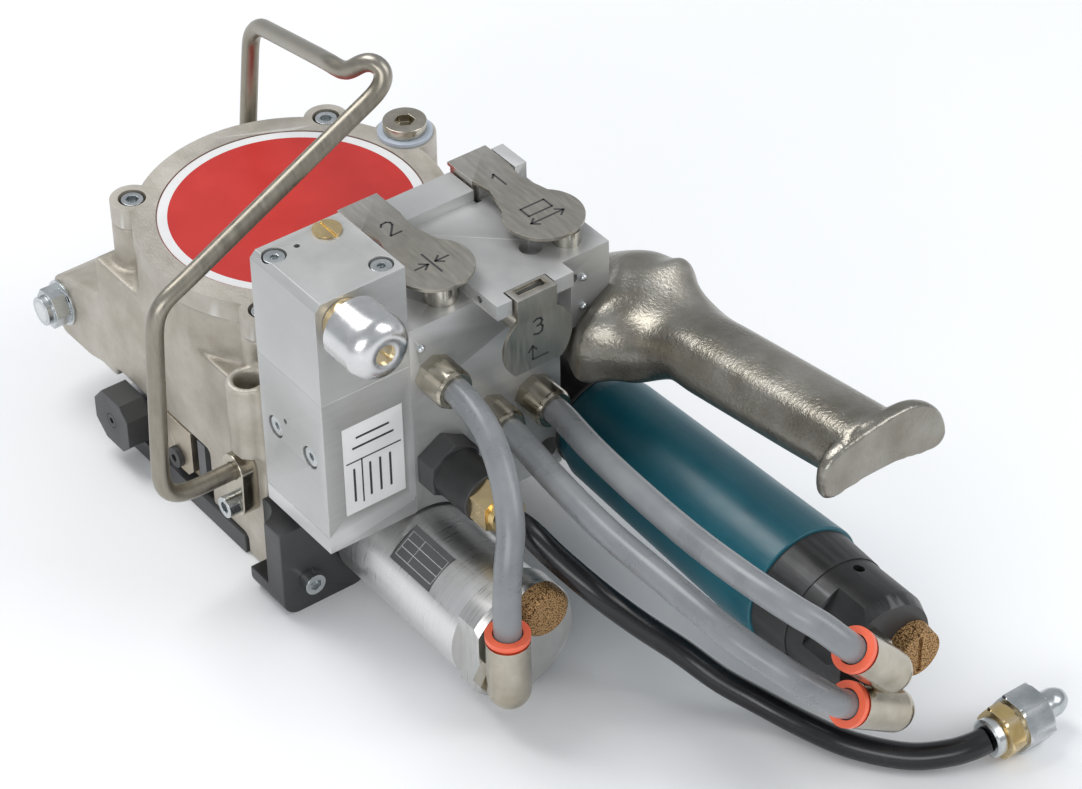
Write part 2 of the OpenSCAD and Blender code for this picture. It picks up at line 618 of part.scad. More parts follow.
// Elbow with its stem along -X and its hose mouth along +Y, stem long to the motor's face
module elbow(stem) difference() {
    union() {
        sphere(r = 9.4, $fn = 48);
        rod_y(0, 26, 0, 0, 9.4);
        rod_x(-stem, -7, 0, 0, 9.6, 9.6, 6);
        rod_x(-stem - 7, -stem + 1, 0, 0, 4.5);
    }
    rod_y(16, 27, 0, 0, hose_d / 2);
    rod_y(20.5, 27, 0, 0, 8.2);
}
module at_elbow(i) {
    place = [[weld_end, elbow1, 90], [motor_end, elbow2, 145.2], [motor_end, elbow3, 131.6]][i];
    translate([place[0] + stems[i], place[1][0], place[1][1]]) rotate([place[2], 0, 0]) children();
}
module elbow_fittings() color("#a9a291") for (i = [0:2]) at_elbow(i) elbow(stems[i]);
module release_ring(i) color("#e8432a") at_elbow(i) difference() {
    union() {
        rod_y(22.6, 28, 0, 0, 8.2 - 0.08);
        rod_y(27.6, 30, 0, 0, 9.6);
    }
    rod_y(20, 31, 0, 0, hose_d / 2 + 0.45);
}
module release_ring_1() release_ring(0);
module release_ring_2() release_ring(1);
module release_ring_3() release_ring(2);
module air_hoses() color("#77797c") for (r = [hose_1, hose_2, hose_3])
    tube(r, hose_d / 2 - 0.02, [0, 0.747, 0.664]);

module inlet_fitting() color("#2a2a2c") {
    rod_x(front_x - 10, front_x, inlet_y, inlet_z, 7);
    rod_x(front_x, 140, inlet_y, inlet_z, 14, 14, 6);
    rod_x(139.5, 162, inlet_y, inlet_z, 11.5);
}
module inlet_adapter() color("#c2a24a") difference() {
    union() {
        rod_x(162, 173, inlet_y, inlet_z, 10.8, 10.8, 6);
        rod_x(173, 177, inlet_y, inlet_z, 8.5);
    }
    rod_x(168, 178, inlet_y, inlet_z, supply_d / 2);
}
module supply_hose() color("#17171a") tube(supply, supply_d / 2, [0, 0, 1], 3);
module hose_coupling() color("#c0c2c2") translate([347, 101, 12.3]) {
    rod_y(0.2, 5, 0, 0, 8.6);
    rod_y(5, 13, 0, 0, 12, 6);
    rod_y(13, 28, 0, 0, 13.5, 6);
    rod_y(28, 35, 0, 0, 6.5);
    translate([0, 37, 0]) sphere(r = 6, $fn = 32);
}

// ---- bail ----
module bail() color("#b3aca0") tube(bail_route, bail_d / 2, [0.5, 0.1, -0.86], 3, 12);
module clamp_plate() difference() {
    union() {
        circle(r = 8);
        translate([1, -17]) circle(r = 6.5);
        polygon([[-8, 0], [8, 0], [7.5, -17], [-5.5, -17]]);
    }
    circle(r = bail_d / 2);
    translate([1, -17]) circle(r = 3);
}
module bail_clamps() color("#b5ab97") {
    translate([clamp1[0], face_y, clamp1[1]]) rotate([90, 0, 0]) linear_extrude(8) clamp_plate();
    translate([-78, clamp2[0], clamp2[1]]) rotate([90, 0, 90]) linear_extrude(8)
        rotate(90) mirror([1, 0]) clamp_plate();
}

main_casting();
base_plate();
foot_block();
top_cover();
socket_screws();
cover_label();
cover_plug();
plug_seal();
press_piston();
pivot_pin();
pivot_nut();
bearing_cap();
button_screws();
feed_wheel();
feed_shaft();
worm_wheel();
worm_shaft();
weld_plate();
eccentric_shaft();
guide_plate();
cutter_blade();
weld_motor();
weld_motor_cap();
motor_nameplate();
weld_silencer();
motor_sleeve();
motor_collar();
motor_housing();
motor_silencer();
handle();
valve_upper();
valve_lower();
valve_screws();
slotted_plug();
regulator_cap();
regulator_screw();
ball_plugs();
manifold_block();
outlet_block();
lever_bracket();
tension_lever();
weld_lever();
stop_lever();
lever_pins();
tension_plunger();
weld_plunger();
stop_plunger();
straight_fittings();
elbow_fittings();
release_ring_1();
release_ring_2();
release_ring_3();
air_hoses();
inlet_fitting();
inlet_adapter();
supply_hose();
hose_coupling();
bail();
bail_clamps();
valve_label();
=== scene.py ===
import json
import math

import bmesh
import bpy
from mathutils import Matrix, Vector


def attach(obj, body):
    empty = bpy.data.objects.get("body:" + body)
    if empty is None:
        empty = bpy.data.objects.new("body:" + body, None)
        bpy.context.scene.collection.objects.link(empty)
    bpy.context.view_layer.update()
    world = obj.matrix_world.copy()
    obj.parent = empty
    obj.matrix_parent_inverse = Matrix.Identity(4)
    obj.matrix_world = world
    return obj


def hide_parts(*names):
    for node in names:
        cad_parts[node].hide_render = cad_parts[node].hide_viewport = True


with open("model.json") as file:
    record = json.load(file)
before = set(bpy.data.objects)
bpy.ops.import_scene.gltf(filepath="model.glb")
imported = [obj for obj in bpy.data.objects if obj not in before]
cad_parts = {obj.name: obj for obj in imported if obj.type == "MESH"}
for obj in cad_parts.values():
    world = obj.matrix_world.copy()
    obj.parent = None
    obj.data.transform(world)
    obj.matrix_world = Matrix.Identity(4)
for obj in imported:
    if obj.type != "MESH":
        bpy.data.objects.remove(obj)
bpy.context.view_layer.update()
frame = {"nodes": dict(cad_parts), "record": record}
MM = 0.001

# ---------------------------------------------------------------- camera
AZIMUTH, ELEVATION, ROLL = math.radians(54), math.radians(38.9), math.radians(-1.2)
CAMERA_AT = Vector((1.1470, -0.7016, 1.1016))


def place_camera():
    data = bpy.data.cameras.new("camera")
    data.sensor_width = 36
    data.lens = 126.43
    data.clip_start = 0.05
    cam = bpy.data.objects.new("camera", data)
    bpy.context.scene.collection.objects.link(cam)
    bpy.context.scene.camera = cam
    back = Vector((math.sin(AZIMUTH) * math.cos(ELEVATION), -math.cos(AZIMUTH) * math.cos(ELEVATION),
                   math.sin(ELEVATION)))
    right = Vector((math.cos(AZIMUTH), math.sin(AZIMUTH), 0))
    up = back.cross(right)
    x = math.cos(ROLL) * right + math.sin(ROLL) * up
    y = -math.sin(ROLL) * right + math.cos(ROLL) * up
    cam.matrix_world = Matrix(((x.x, y.x, back.x, CAMERA_AT.x), (x.y, y.y, back.y, CAMERA_AT.y),
                               (x.z, y.z, back.z, CAMERA_AT.z), (0, 0, 0, 1)))


place_camera()


# ---------------------------------------------------------------- materials
class Nodes:
    """Small helper around one material's node tree."""

    def __init__(self, name):
        self.mat = bpy.data.materials.new(name)
        self.mat.use_nodes = True
        self.tree = self.mat.node_tree
        self.bsdf = self.tree.nodes["Principled BSDF"]
        self.coord = self.tree.nodes.new("ShaderNodeTexCoord")

    def link(self, a, b):
        self.tree.links.new(a, b)

    def mapped(self, scale):
        m = self.tree.nodes.new("ShaderNodeMapping")
        m.inputs["Scale"].default_value = scale
        self.link(self.coord.outputs["Object"], m.inputs["Vector"])
        return m.outputs["Vector"]

    def noise(self, scale, detail=4.0, rough=0.55, stretch=(1, 1, 1)):
        n = self.tree.nodes.new("ShaderNodeTexNoise")
        n.inputs["Scale"].default_value = scale
        n.inputs["Detail"].default_value = detail
        n.inputs["Roughness"].default_value = rough
        self.link(self.mapped(stretch), n.inputs["Vector"])
        return n.outputs["Fac"]

    def ramp(self, source, stops):
        r = self.tree.nodes.new("ShaderNodeValToRGB")
        e = r.color_ramp.elements
        while len(e) < len(stops):
            e.new(0.5)
        for item, (pos, color) in zip(e, stops):
            item.position = pos
            item.color = (*color, 1) if len(color) == 3 else color
        self.link(source, r.inputs["Fac"])
        return r.outputs["Color"]

    def range(self, source, lo, hi, a=0.3, b=0.7):
        m = self.tree.nodes.new("ShaderNodeMapRange")
        m.inputs["From Min"].default_value = a
        m.inputs["From Max"].default_value = b
        m.inputs["To Min"].default_value = lo
        m.inputs["To Max"].default_value = hi
        self.link(source, m.inputs["Value"])
        return m.outputs["Result"]

    def mix(self, factor, a, b, blend="MIX"):
        m = self.tree.nodes.new("ShaderNodeMix")
        m.data_type = "RGBA"
        m.blend_type = blend
        fac = m.inputs[0]
        sa = [i for i in m.inputs if i.name == "A" and i.type == "RGBA"][0]
        sb = [i for i in m.inputs if i.name == "B" and i.type == "RGBA"][0]
        for sock, value in ((fac, factor), (sa, a), (sb, b)):
            if hasattr(value, "is_linked"):
                self.link(value, sock)
            elif isinstance(value, (int, float)):
                sock.default_value = value
            else:
                sock.default_value = (*value, 1)
        return [o for o in m.outputs if o.type == "RGBA"][0]

    def bump(self, height, strength, dist, normal=None):
        b = self.tree.nodes.new("ShaderNodeBump")
        b.inputs["Strength"].default_value = strength
        b.inputs["Distance"].default_value = dist
        self.link(height, b.inputs["Height"])
        if normal is not None:
            self.link(normal, b.inputs["Normal"])
        return b.outputs["Normal"]

    def edges(self, lo=0.52, hi=0.62):
        """1 on convex edges, from the mesh's pointiness; the mask of the painted edge highlights."""
        g = self.tree.nodes.new("ShaderNodeNewGeometry")
        return self.range(g.outputs["Pointiness"], 0, 1, lo, hi)

    def finish(self, color=None, rough=None, metal=None, normal=None, **fixed):
        inputs = {"Base Color": color, "Roughness": rough, "Metallic": metal, "Normal": normal}
        for name, value in inputs.items():
            if value is None:
                continue
            if hasattr(value, "is_linked"):
                self.link(value, self.bsdf.inputs[name])
            else:
                self.bsdf.inputs[name].default_value = (*value, 1) if isinstance(value, tuple) else value
        for name, value in fixed.items():
            self.bsdf.inputs[name.replace("_", " ")].default_value = value
        return self.mat


def cast_metal(name, dark, mid, light, grain=900, pits=0.5, rough=(0.34, 0.58), metal=0.85):
    n = Nodes(name)
    cloud = n.noise(22, 5, 0.6)
    fine = n.noise(grain, 3, 0.6)
    blotch = n.noise(70, 4, 0.65)
    color = n.ramp(cloud, [(0.3, dark), (0.5, mid), (0.72, light)])
    speck = n.ramp(blotch, [(0.35, (0.78, 0.75, 0.68)), (0.6, (1, 1, 1))])
    color = n.mix(0.55, color, speck, "MULTIPLY")
    # painted highlight: convex edges mixed towards a pale grey
    color = n.mix(n.range(n.edges(), 0, 0.55, 0, 1), color, (0.86, 0.85, 0.82))
    normal = n.bump(fine, pits, 0.0004)
    normal = n.bump(blotch, pits * 0.5, 0.0008, normal)
    return n.finish(color, n.range(cloud, rough[0], rough[1]), metal, normal)


def brushed(name, dark, light, stretch, scale=60, rough=(0.25, 0.45), metal=1.0, depth=0.12):
    n = Nodes(name)
    streak = n.noise(scale, 4, 0.6, stretch)
    cloud = n.noise(30, 3, 0.5)
    color = n.ramp(streak, [(0.3, dark), (0.7, light)])
    shade = n.ramp(cloud, [(0.3, (0.85, 0.84, 0.82)), (0.65, (1, 1, 1))])
    color = n.mix(0.6, color, shade, "MULTIPLY")
    # painted highlight: convex edges mixed towards a light grey
    color = n.mix(n.range(n.edges(), 0, 0.6, 0, 1), color, (0.9, 0.9, 0.9))
    return n.finish(color, n.range(streak, rough[0], rough[1]), metal, n.bump(streak, depth, 0.0002))


def plated(name, dark, light, rough=(0.12, 0.3), metal=1.0):
    n = Nodes(name)
    cloud = n.noise(90, 4, 0.6)
    fine = n.noise(1400, 2, 0.5)
    color = n.ramp(cloud, [(0.3, dark), (0.7, light)])
    # painted highlight: convex edges mixed towards a near-white grey
    color = n.mix(n.range(n.edges(), 0, 0.4, 0, 1), color, (0.92, 0.91, 0.88))
    return n.finish(color, n.range(cloud, rough[0], rough[1]), metal, n.bump(fine, 0.06, 0.0001))


def plastic(name, dark, light, rough=(0.3, 0.42), grain=1500, depth=0.08, edge_highlight=(0.4, 0.4, 0.4), edge_highlight_amount=0.25,
            coat=0.0):
    n = Nodes(name)
    cloud = n.noise(45, 4, 0.6)
    fine = n.noise(grain, 2, 0.5)
    color = n.ramp(cloud, [(0.3, dark), (0.7, light)])
    # painted highlight: convex edges mixed towards a lighter colour, by the given amount
    color = n.mix(n.range(n.edges(), 0, edge_highlight_amount, 0, 1), color, edge_highlight)
    return n.finish(color, n.range(cloud, rough[0], rough[1]), 0.0, n.bump(fine, depth, 0.0002),
                    Coat_Weight=coat)


def black_metal(name, rough=(0.35, 0.5), tone=0.02):
    n = Nodes(name)
    cloud = n.noise(55, 5, 0.65)
    fine = n.noise(800, 3, 0.6)
    color = n.ramp(cloud, [(0.3, (tone, tone, tone * 1.05)), (0.7, (tone * 1.8, tone * 1.8, tone * 1.8))])
    # painted highlight: convex edges mixed towards a mid grey
    color = n.mix(n.range(n.edges(), 0, 0.35, 0, 1), color, (0.32, 0.32, 0.33))
    return n.finish(color, n.range(cloud, rough[0], rough[1]), 0.3, n.bump(fine, 0.2, 0.0002))


def sintered(name):
    n = Nodes(name)
    v = n.tree.nodes.new("ShaderNodeTexVoronoi")
    v.inputs["Scale"].default_value = 1500
    n.link(n.mapped((1, 1, 1)), v.inputs["Vector"])
    grain = v.outputs["Distance"]
    color = n.ramp(grain, [(0.05, (0.78, 0.52, 0.27)), (0.45, (0.55, 0.33, 0.14)),
                           (0.75, (0.1, 0.05, 0.02))])
    return n.finish(color, n.range(grain, 0.35, 0.7, 0, 0.8), 0.7, n.bump(grain, 0.9, 0.0006))


MATS = {
    "cast_aluminium": cast_metal("cast_aluminium", (0.33, 0.295, 0.245), (0.47, 0.435, 0.375),
                                 (0.6, 0.565, 0.505), metal=0.55),
    "polished_casting": cast_metal("polished_casting", (0.2, 0.185, 0.155), (0.3, 0.285, 0.25),
                                   (0.44, 0.42, 0.38), 600, 0.6, (0.22, 0.4), 0.9),
    "anodised_aluminium": brushed("anodised_aluminium", (0.4, 0.405, 0.395), (0.45, 0.455, 0.445),
                                  (1, 1, 8), 60, (0.4, 0.5), 0.6, 0.03),
    "turned_aluminium": brushed("turned_aluminium", (0.5, 0.495, 0.48), (0.68, 0.675, 0.66),
                                (25, 1, 1), 40, (0.24, 0.4), 0.95, 0.08),
    "polished_aluminium": plated("polished_aluminium", (0.6, 0.6, 0.6), (0.75, 0.75, 0.75),
                                 (0.2, 0.32)),
    "black_steel": black_metal("black_steel"),
    "zinc_steel": plated("zinc_steel", (0.42, 0.45, 0.46), (0.62, 0.65, 0.66), (0.18, 0.34)),
    "stainless_steel": brushed("stainless_steel", (0.25, 0.228, 0.18), (0.33, 0.3, 0.245),
                               (1, 6, 1), 90, (0.28, 0.42), 0.9, 0.04),
    "tool_steel": brushed("tool_steel", (0.28, 0.28, 0.29), (0.42, 0.42, 0.44), (1, 20, 1), 60,
                          (0.3, 0.45)),
    "nickel_brass": plated("nickel_brass", (0.36, 0.325, 0.25), (0.52, 0.48, 0.4), (0.14, 0.28)),
    "brass": plated("brass", (0.6, 0.42, 0.17), (0.78, 0.6, 0.28), (0.16, 0.3)),
    "sintered_bronze": sintered("sintered_bronze"),
    "beige_steel": plated("beige_steel", (0.36, 0.3, 0.21), (0.5, 0.43, 0.32), (0.3, 0.5)),
    "label_red": plastic("label_red", (0.48, 0.014, 0.01), (0.56, 0.022, 0.014), (0.3, 0.4),
                         edge_highlight=(0.6, 0.05, 0.04)),
    "label_white": plastic("label_white", (0.7, 0.7, 0.69), (0.8, 0.8, 0.79), (0.3, 0.4),
                           edge_highlight=(0.8, 0.8, 0.8)),
    "nameplate": black_metal("nameplate", (0.3, 0.4), 0.015),
    "ink": plastic("ink", (0.02, 0.02, 0.022), (0.035, 0.035, 0.036), (0.4, 0.5),
                   edge_highlight=(0.05, 0.05, 0.05)),
    "teal_sleeve": plastic("teal_sleeve", (0.004, 0.085, 0.122), (0.01, 0.112, 0.152), (0.3, 0.42),
                           1200, 0.1, (0.04, 0.22, 0.27), 0.5),
    "orange_plastic": plastic("orange_plastic", (0.78, 0.07, 0.02), (0.9, 0.11, 0.035), (0.28, 0.4),
                              1500, 0.08, (0.95, 0.25, 0.15), 0.4),
    "grey_tube": plastic("grey_tube", (0.19, 0.2, 0.21), (0.26, 0.27, 0.28), (0.24, 0.34), 700,
                         0.04, (0.5, 0.5, 0.5), 0.1),
    "black_tube": plastic("black_tube", (0.006, 0.006, 0.007), (0.014, 0.014, 0.016), (0.2, 0.3),
                          500, 0.05, (0.05, 0.05, 0.05), 0.1),
    "seal": plastic("seal", (0.42, 0.48, 0.56), (0.5, 0.56, 0.64), (0.35, 0.5)),
}


def paint(obj, mat):
    obj.data.materials.clear()
    obj.data.materials.append(MATS[mat])


SLOT_OF = {p["node"]: p["material_slot"] for p in frame["record"]["subparts"]}
for node_name, node_obj in frame["nodes"].items():
    paint(node_obj, SLOT_OF[node_name])
    node_obj.data.polygons.foreach_set("use_smooth", [True] * len(node_obj.data.polygons))
    node_obj.data.set_sharp_from_angle(angle=math.radians(32))

BODY = {}
for body_name, node_list in frame["record"]["behaviour"]["bodies"].items():
    for node_name in node_list:
        BODY[node_name] = body_name


# ---------------------------------------------------------------- pieces
def add_mesh(name, bm, mat, body="frame", replaces=(), smooth=35):
    mesh = bpy.data.meshes.new(name)
    bm.to_mesh(mesh)
    bm.free()
    obj = bpy.data.objects.new(name, mesh)
    bpy.context.scene.collection.objects.link(obj)
    mesh.polygons.foreach_set("use_smooth", [True] * len(mesh.polygons))
    mesh.set_sharp_from_angle(angle=math.radians(smooth))
    mesh.materials.append(MATS[mat])
    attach(obj, body)
    if replaces:
        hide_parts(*replaces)
    return obj


def rounded(node_name, width):
    """Copy of a CAD node with rounded edges, shown in its place."""
    src = frame["nodes"][node_name]
    mesh = src.data.copy()
    obj = bpy.data.objects.new(node_name + "_soft", mesh)
    bpy.context.scene.collection.objects.link(obj)
    bm = bmesh.new()
    bm.from_mesh(mesh)
    bmesh.ops.remove_doubles(bm, verts=bm.verts, dist=2e-6)
    bmesh.ops.dissolve_limit(bm, angle_limit=math.radians(1.0), verts=bm.verts, edges=bm.edges)
    bm.to_mesh(mesh)
    bm.free()
    bevel = obj.modifiers.new("bevel", "BEVEL")
    bevel.width = width * MM
    bevel.segments = 2
    bevel.limit_method = "ANGLE"
    bevel.angle_limit = math.radians(30)
    bevel.use_clamp_overlap = True
    weighted = obj.modifiers.new("weighted", "WEIGHTED_NORMAL")
    weighted.weight = 100
    weighted.keep_sharp = True
    mesh.polygons.foreach_set("use_smooth", [True] * len(mesh.polygons))
    apply_modifiers(obj)
    obj.data.materials.clear()
    obj.data.materials.append(MATS[SLOT_OF[node_name]])
    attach(obj, BODY[node_name])
    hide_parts(node_name)
    return obj


def apply_modifiers(obj):
    graph = bpy.context.evaluated_depsgraph_get()
    graph.update()
    done = bpy.data.meshes.new_from_object(obj.evaluated_get(graph))
    obj.modifiers.clear()
    obj.data = done


# the press chamber in the casting, in metres: smoothed vertices that strayed inside its wall, down to
# CHAMBER_WALL and between its floor and its roof, go back out to CHAMBER_R
CHAMBER_R = 0.0563
CHAMBER_WALL = 0.053
CHAMBER_FLOOR = 0.0735
CHAMBER_ROOF = 0.1165


def remeshed(node_name, voxel, smooth_steps):
    """Cast look: the CAD solid voxel-remeshed and smoothed, so its edges flow like a casting's."""
    src = frame["nodes"][node_name]
    obj = bpy.data.objects.new(node_name + "_cast", src.data.copy())
    bpy.context.scene.collection.objects.link(obj)
    r = obj.modifiers.new("remesh", "REMESH")
    r.mode = "VOXEL"
    r.voxel_size = voxel * MM
    s = obj.modifiers.new("smooth", "SMOOTH")
    s.factor = 0.5
    s.iterations = smooth_steps
    apply_modifiers(obj)
    for vert in obj.data.vertices:
        vert.co.z = max(vert.co.z, 0)
        # the press chamber stays as wide as its piston
        reach = math.hypot(vert.co.x, vert.co.y)
        if CHAMBER_WALL < reach < CHAMBER_R and CHAMBER_FLOOR < vert.co.z < CHAMBER_ROOF:
            vert.co.x, vert.co.y = vert.co.x * CHAMBER_R / reach, vert.co.y * CHAMBER_R / reach
    obj.data.polygons.foreach_set("use_smooth", [True] * len(obj.data.polygons))
    obj.data.materials.clear()
    obj.data.materials.append(MATS[SLOT_OF[node_name]])
    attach(obj, BODY[node_name])
    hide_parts(node_name)
    return obj


def catmull(route, per):
    pts = [Vector(p) for p in route]
    ext = [2 * pts[0] - pts[1]] + pts + [2 * pts[-1] - pts[-2]]
    out = []
    for i in range(len(pts) - 1):
        a, b, c, d = ext[i:i + 4]
        for k in range(per):
            t = k / per
            out.append(0.5 * (2 * b + (c - a) * t + (2 * a - 5 * b + 4 * c - d) * t ** 2
                              + (3 * b - a - 3 * c + d) * t ** 3))
    out.append(pts[-1])
    return out


def tube_curve(name, route, radius, mat, body, replaces=(), per=8, resolution=6):
    curve = bpy.data.curves.new(name, "CURVE")
    curve.dimensions = "3D"
    curve.bevel_depth = radius * MM
    curve.bevel_resolution = resolution
    curve.use_fill_caps = True
    line = curve.splines.new("POLY")
    pts = catmull([[c * MM for c in p] for p in route], per)
    line.points.add(len(pts) - 1)
    for point, at in zip(line.points, pts):
        point.co = (*at, 1)
    line.use_smooth = True
    obj = bpy.data.objects.new(name, curve)
    bpy.context.scene.collection.objects.link(obj)
    curve.materials.append(MATS[mat])
    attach(obj, body)
    if replaces:
        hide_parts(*replaces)
    return obj, pts


# ---------------------------------------------------------------- supply hose, the free cord
SUPPLY = [
    [168, -14.5, 78], [179, -14.5, 78], [188, -12, 75.5], [200, -6.5, 66], [217, 2, 54],
    [229, 13.5, 40], [240.5, 25.5, 27], [256, 34.5, 17], [271, 44, 10], [288.5, 51.5, 6.5],
    [306, 58, 5.8], [320, 66, 5.8], [332, 76, 6.2], [341, 87, 8.6], [345.5, 95, 11],
    [347, 101, 12.3]]
supply_obj, supply_points = tube_curve("supply_hose_tube", SUPPLY, 5.75, "black_tube", "frame",
                                       ["supply_hose"])


def frame_along(origin, axis):
    """Matrix whose Z is the axis, in metres from millimetres."""
    turn = Vector(axis).to_track_quat("Z", "Y").to_matrix().to_4x4()
    return Matrix.Translation(Vector(origin) * MM) @ turn


def close_rings(bm, rings):
    """Closed skin over rings that all have the same number of vertices."""
    n = len(rings[0])
    for low, high in zip(rings, rings[1:]):
        for k in range(n):
            bm.faces.new((low[k], low[(k + 1) % n], high[(k + 1) % n], high[k]))
    bm.faces.new(list(reversed(rings[0])))
    bm.faces.new(rings[-1])


def along_axis(name, origin, axis, rings, mat, replaces=(), smooth=30):
    """Piece over rings, each a distance along the axis and a list of (radius, angle)."""
    bm = bmesh.new()
    place = frame_along(origin, axis)
    loops = []
    for along, ring in rings:
        loops.append([bm.verts.new(place @ Vector((r * MM * math.cos(a), r * MM * math.sin(a), along * MM)))
                      for r, a in ring])
    close_rings(bm, loops)
    bmesh.ops.recalc_face_normals(bm, faces=bm.faces)
    return add_mesh(name, bm, mat, "frame", replaces, smooth)


def turned(name, origin, axis, profile, mat, replaces=()):
    """Piece of revolution: profile is a list of (distance along the axis, radius)."""
    sides = 64
    angles = [2 * math.pi * k / sides for k in range(sides)]
    rings = [(along, [(radius, a) for a in angles]) for along, radius in profile]
    return along_axis(name, origin, axis, rings, mat, replaces)


def hexagon(name, origin, axis, start, end, radius, mat, turn):
    """Hexagon across corners 2 * radius, its ends turned down to a round chamfer."""
    chamfer = 0.8
    sides = 72
    apothem = radius * math.cos(math.pi / 6)
    rings = []
    for along, limit in ((start, radius * 0.9), (start + chamfer, radius), (end - chamfer, radius),
                         (end, radius * 0.9)):
        ring = []
        for k in range(sides):
            a = 2 * math.pi * k / sides
            flat = apothem / math.cos((a + math.pi / 6) % (math.pi / 3) - math.pi / 6)
            ring.append((min(flat, limit), a + turn))
        rings.append((along, ring))
    return along_axis(name, origin, axis, rings, mat, smooth=25)


COUPLING = (347, 101, 12.3)
ALONG_Y = (0, 1, 0)
FLAT_DOWN = math.radians(30)
coupling = [
    turned("coupling_collar", COUPLING, ALONG_Y, [(0, 7.6), (0.8, 8.6), (4.2, 8.6), (5.2, 7.8)],
           "zinc_steel", ["hose_coupling"]),
    hexagon("coupling_nut", COUPLING, ALONG_Y, 5, 12.6, 12, "brass", FLAT_DOWN),
    turned("coupling_groove", COUPLING, ALONG_Y, [(12.5, 10.2), (14, 10.2)], "brass"),
    hexagon("coupling_body", COUPLING, ALONG_Y, 13.8, 27.6, 13.5, "zinc_steel", FLAT_DOWN),
    turned("coupling_nipple", COUPLING, ALONG_Y,
           [(27.4, 9.5), (28.2, 9), (29, 6.6), (33, 6.5), (34.2, 6.1), (35.4, 6.2), (37.5, 6.1), (40, 5.2),
            (41.8, 4), (42.6, 2.4), (42.6, 1.6), (38, 1.5)], "zinc_steel")]

# ---------------------------------------------------------------- air tubes and bail
HOSES = {
    "hose_1": [[138, -16.6, 125], [150, -16.6, 125], [168, -18.5, 121.5], [186, -23.5, 112.5],
               [200.5, -30.5, 98], [208, -38, 80], [210.5, -40.5, 64], [210.5, -40.5, 52],
               [210.5, -40.5, 39]],
    "hose_2": [[138, 10, 90.5], [150, 10, 90.5], [180, 7.5, 88.5], [220, 3.5, 90], [260, 2.5, 91.5],
               [295, 5.5, 88], [318, 15, 79], [328, 24, 70.5], [331.5, 30.5, 63.5], [332, 37, 58.3],
               [332, 46.7, 51.6]],
    "hose_3": [[138, 33.5, 90], [150, 33.5, 90], [180, 28.5, 92.5], [220, 22, 99], [260, 17, 105.5],
               [295, 16, 109.5], [318, 20, 108], [328, 26, 103], [334, 31.5, 96.5], [336, 36.6, 90.4],
               [336, 43.3, 82.9]]}
for hose_name, hose_route in HOSES.items():
    tube_curve("air_" + hose_name, hose_route, 6.0, "grey_tube", "frame", ["air_hoses"])

BAIL = [
    [58, -60, 55], [58, -80, 55], [58, -98, 55], [57.8, -104, 56.5], [57.7, -108, 60.5],
    [57.7, -109.6, 67], [57.9, -109, 85], [58.4, -106.4, 140], [58.5, -105.6, 150], [58.6, -103.4, 156.6],
    [58.7, -98, 160.6], [58.9, -88, 165.3], [59.8, -5, 210], [60, 6, 215.6], [60, 11.4, 219.6],
    [59.6, 13.6, 223.6], [57.4, 13, 227.2], [53, 10.4, 228.6], [48.5, 7.6, 225.8], [45.2, 6, 221],
    [41.5, 5.2, 218.2], [35, 5.2, 217], [25, 7, 214.2], [-55, 27, 180.5], [-63, 29.2, 176.8],
    [-68.5, 29.8, 173], [-72.4, 29.8, 167.5], [-74, 29.4, 160], [-75.6, 22.5, 85], [-75.4, 20.8, 77],
    [-73, 20, 72], [-67, 20, 70], [-58, 20, 70]]


def evenly(points, step):
    """Points every step along a polyline, its ends kept."""
    out, carry = [points[0]], 0.0
    for a, b in zip(points, points[1:]):
        length = (b - a).length
        at = step - carry
        while at <= length:
            out.append(a.lerp(b, at / length))
            at += step
        carry = length - (at - step)
    return out[:-1] + [points[-1]]


def relaxed(route, step=1.5, rounds=22):
    """Route as a rod is bent: its corners become arcs."""
    pts = evenly(catmull(route, 12), step)
    for _ in range(rounds):
        inner = [0.25 * a + 0.5 * b + 0.25 * c for a, b, c in zip(pts, pts[1:], pts[2:])]
        pts = [pts[0]] + inner + [pts[-1]]
    return [list(p) for p in pts]


tube_curve("bail_rod", relaxed(BAIL), 4.0, "stainless_steel", "frame", ["bail"], per=1, resolution=8)

# ---------------------------------------------------------------- castings and blocks
remeshed("main_casting", 1.2, 7)
# bevel width, in mm, of each CAD piece that is shown with rounded edges
EDGES = {
    "top_cover": 1.0, "foot_block": 1.5, "base_plate": 1.0, "valve_upper": 0.6, "valve_lower": 0.6,
    "manifold_block": 0.5, "outlet_block": 0.5, "lever_bracket": 0.5, "bearing_cap": 1.0,
    "pivot_nut": 0.6, "tension_lever": 0.25, "weld_lever": 0.25, "stop_lever": 0.25,
    "straight_fittings": 0.5, "elbow_fittings": 0.6, "inlet_fitting": 0.7, "inlet_adapter": 0.5,
    "bail_clamps": 0.6, "weld_motor_cap": 0.6, "motor_housing": 0.6, "motor_collar": 0.5,
    "socket_screws": 0.4, "cover_plug": 0.5, "plug_seal": 0.3, "valve_screws": 0.3,
    "slotted_plug": 0.3, "weld_silencer": 0.6, "motor_silencer": 0.2, "regulator_cap": 0.8,
    "guide_plate": 0.5, "button_screws": 0.4, "feed_wheel": 0.3, "motor_sleeve": 0.8}
for soft_node, soft_width in EDGES.items():
    rounded(soft_node, soft_width)


# ---------------------------------------------------------------- handle
def ellipse_points(y, z, a, b, floor_z):
    """Eight outline points of the grip, its underside raised to floor_z."""
    out = []
    for angle in (225, 180, 135, 105, 75, 45, 0, 270):
        t = math.radians(angle)
        out.append((y + a * math.cos(t), max(z + b * math.sin(t), floor_z)))
    return out


